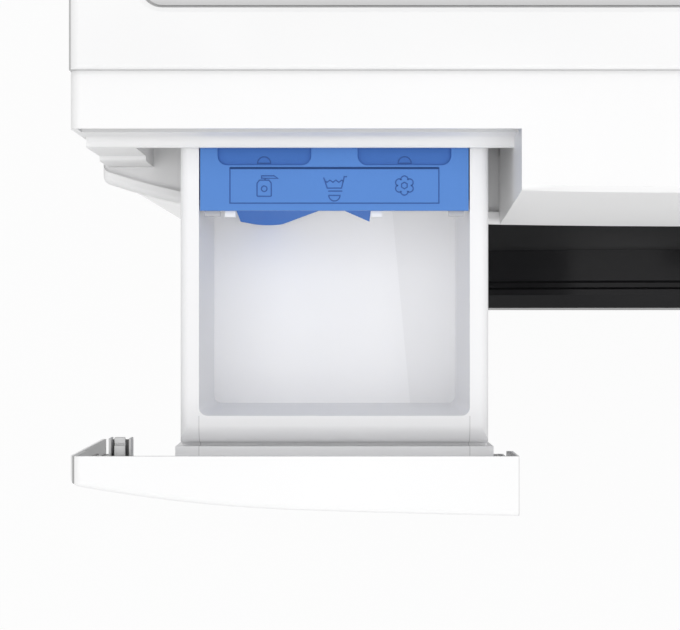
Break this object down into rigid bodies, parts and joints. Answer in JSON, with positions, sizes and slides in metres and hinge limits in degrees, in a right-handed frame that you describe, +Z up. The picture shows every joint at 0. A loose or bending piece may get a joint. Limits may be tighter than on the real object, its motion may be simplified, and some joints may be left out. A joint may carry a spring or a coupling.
{
  "type": "front load washing machine",
  "caption": "White front load washing machine with a pulled-out detergent drawer, blue siphon cover, bowed control fascia and black round door; drum, tub and drive inside.",
  "frame": {"origin": "on the floor, under the middle of the whole machine with its drawer pulled out", "axes": "+Z up, the front with the door faces -Y, +X to the right as seen from the front"},
  "size_m": [0.6, 0.6466, 0.85],
  "materials": {
    "white_enamel": "smooth white baked enamel",
    "white_plastic": "satin white moulded plastic",
    "worktop_laminate": "white laminated board with a grey field",
    "drawer_plastic": "pale lilac white moulded plastic",
    "blue_plastic": "blue translucent looking plastic",
    "black_gloss": "glossy black plastic",
    "dark_window": "smoked plastic window",
    "bowl_glass": "clear pressed glass",
    "galvanised_steel": "galvanised sheet steel",
    "drum_steel": "perforated stainless steel",
    "grey_plastic": "filled grey plastic",
    "dark_plastic": "black moulded plastic",
    "rubber": "soft grey rubber",
    "concrete": "cast concrete",
    "cast_aluminium": "cast aluminium",
    "circuit_board": "green circuit board"
  },
  "bodies": {
    "cabinet": {"worktop": "worktop_laminate", "side_panel_left": "white_enamel", "side_panel_right": "white_enamel", "front_panel": "white_enamel", "back_panel": "galvanised_steel", "rear_access_cover": "galvanised_steel", "base_tray": "grey_plastic", "top_braces": "galvanised_steel", "control_fascia": "white_plastic", "drawer_surround": "white_plastic", "dispenser_housing": "drawer_plastic", "dispenser_lid": "drawer_plastic", "display_window": "dark_window", "control_board": "circuit_board", "door_hinge_bracket": "galvanised_steel", "door_lock": "dark_plastic", "door_gasket": "rubber", "suspension_springs": "galvanised_steel", "damper_cylinders": "grey_plastic", "sump_hose": "rubber", "pump_housing": "grey_plastic", "inlet_valve": "grey_plastic", "fill_hose": "rubber", "drain_outlet": "grey_plastic", "cord_gland": "dark_plastic", "transit_plugs": "grey_plastic", "levelling_feet": "rubber", "foot_locknuts": "galvanised_steel"},
    "drawer": {"drawer_front": "white_plastic", "drawer_box": "drawer_plastic", "siphon_cover": "blue_plastic"},
    "liquid_flap": {"liquid_flap": "blue_plastic"},
    "door": {"door_outer_ring": "black_gloss", "door_inner_frame": "black_gloss", "door_glass": "bowl_glass", "door_hinge_arm": "galvanised_steel"},
    "handle": {"door_handle": "black_gloss"},
    "tub": {"tub_front": "grey_plastic", "tub_rear": "grey_plastic", "heater": "galvanised_steel", "top_counterweight": "concrete", "front_counterweight": "concrete", "drum_bearings": "galvanised_steel", "shaft_seal": "rubber", "motor_housing": "galvanised_steel", "drive_belt": "rubber", "damper_rods": "galvanised_steel"},
    "drum": {"drum": "drum_steel", "drum_lifters": "grey_plastic", "drum_spider": "cast_aluminium", "drum_shaft": "galvanised_steel", "drum_pulley": "cast_aluminium"},
    "rotor": {"motor_shaft": "galvanised_steel"},
    "knob": {"program_knob": "white_plastic"},
    "start_key": {"start_button": "white_plastic"},
    "spin_key": {"spin_button": "white_plastic"},
    "option_key": {"option_button": "white_plastic"},
    "impeller": {"pump_impeller": "grey_plastic"},
    "filter_cap": {"filter_cap": "dark_plastic"},
    "filter_flap": {"filter_flap": "white_plastic"}
  },
  "joints": [
    {"name": "drawer_slide", "type": "slide", "parent": "cabinet", "child": "drawer", "axis": [0, 1, 0], "range_m": [0, 0.144]},
    {"name": "liquid_flap_hinge", "type": "hinge", "parent": "drawer", "child": "liquid_flap", "pos_m": [-0.1975, -0.1746, 0.7959], "axis": [-1, 0, 0], "range_deg": [0, 70]},
    {"name": "door_hinge", "type": "hinge", "parent": "cabinet", "child": "door", "pos_m": [-0.2455, -0.1899, 0.43], "axis": [0, 0, -1], "range_deg": [0, 130]},
    {"name": "handle_pull", "type": "hinge", "parent": "door", "child": "handle", "pos_m": [0.1975, -0.2094, 0.43], "axis": [0, 0, -1], "range_deg": [0, 14], "stiffness_Nm_per_rad": 1},
    {"name": "tub_bounce", "type": "slide", "parent": "cabinet", "child": "tub", "axis": [0, 0, 1], "range_m": [-0.012, 0.012], "stiffness_N_per_m": 12000, "springref_m": 0.02417, "deforming": ["suspension_springs", "door_gasket", "sump_hose"]},
    {"name": "drum_spin", "type": "hinge", "parent": "tub", "child": "drum", "pos_m": [0, 0.2041, 0.43], "axis": [0, 1, 0], "continuous": true},
    {"name": "rotor_spin", "type": "hinge", "parent": "tub", "child": "rotor", "pos_m": [0.06, 0.2651, 0.1116], "axis": [0, 1, 0], "continuous": true},
    {"name": "knob_turn", "type": "hinge", "parent": "cabinet", "child": "knob", "pos_m": [0.03, -0.17511, 0.788], "axis": [0, -0.9964, 0.0852], "continuous": true},
    {"name": "start_key_press", "type": "slide", "parent": "cabinet", "child": "start_key", "axis": [0, 0.9964, -0.0852], "range_m": [0, 0.0025], "stiffness_N_per_m": 600},
    {"name": "spin_key_press", "type": "slide", "parent": "cabinet", "child": "spin_key", "axis": [0, 0.9964, -0.0852], "range_m": [0, 0.0025], "stiffness_N_per_m": 600},
    {"name": "option_key_press", "type": "slide", "parent": "cabinet", "child": "option_key", "axis": [0, 0.9964, -0.0852], "range_m": [0, 0.0025], "stiffness_N_per_m": 600},
    {"name": "impeller_spin", "type": "hinge", "parent": "cabinet", "child": "impeller", "pos_m": [0.208, -0.0109, 0.112], "axis": [0, 1, 0], "continuous": true},
    {"name": "filter_cap_turn", "type": "hinge", "parent": "cabinet", "child": "filter_cap", "pos_m": [0.208, -0.1309, 0.112], "axis": [0, 1, 0], "range_deg": [0, 90]},
    {"name": "filter_flap_hinge", "type": "hinge", "parent": "cabinet", "child": "filter_flap", "pos_m": [0.208, -0.1499, 0.066], "axis": [1, 0, 0], "range_deg": [0, 90]}
  ],
  "couplings": [
    {"joint": "rotor_spin", "follows": "drum_spin", "ratio": 11}
  ]
}
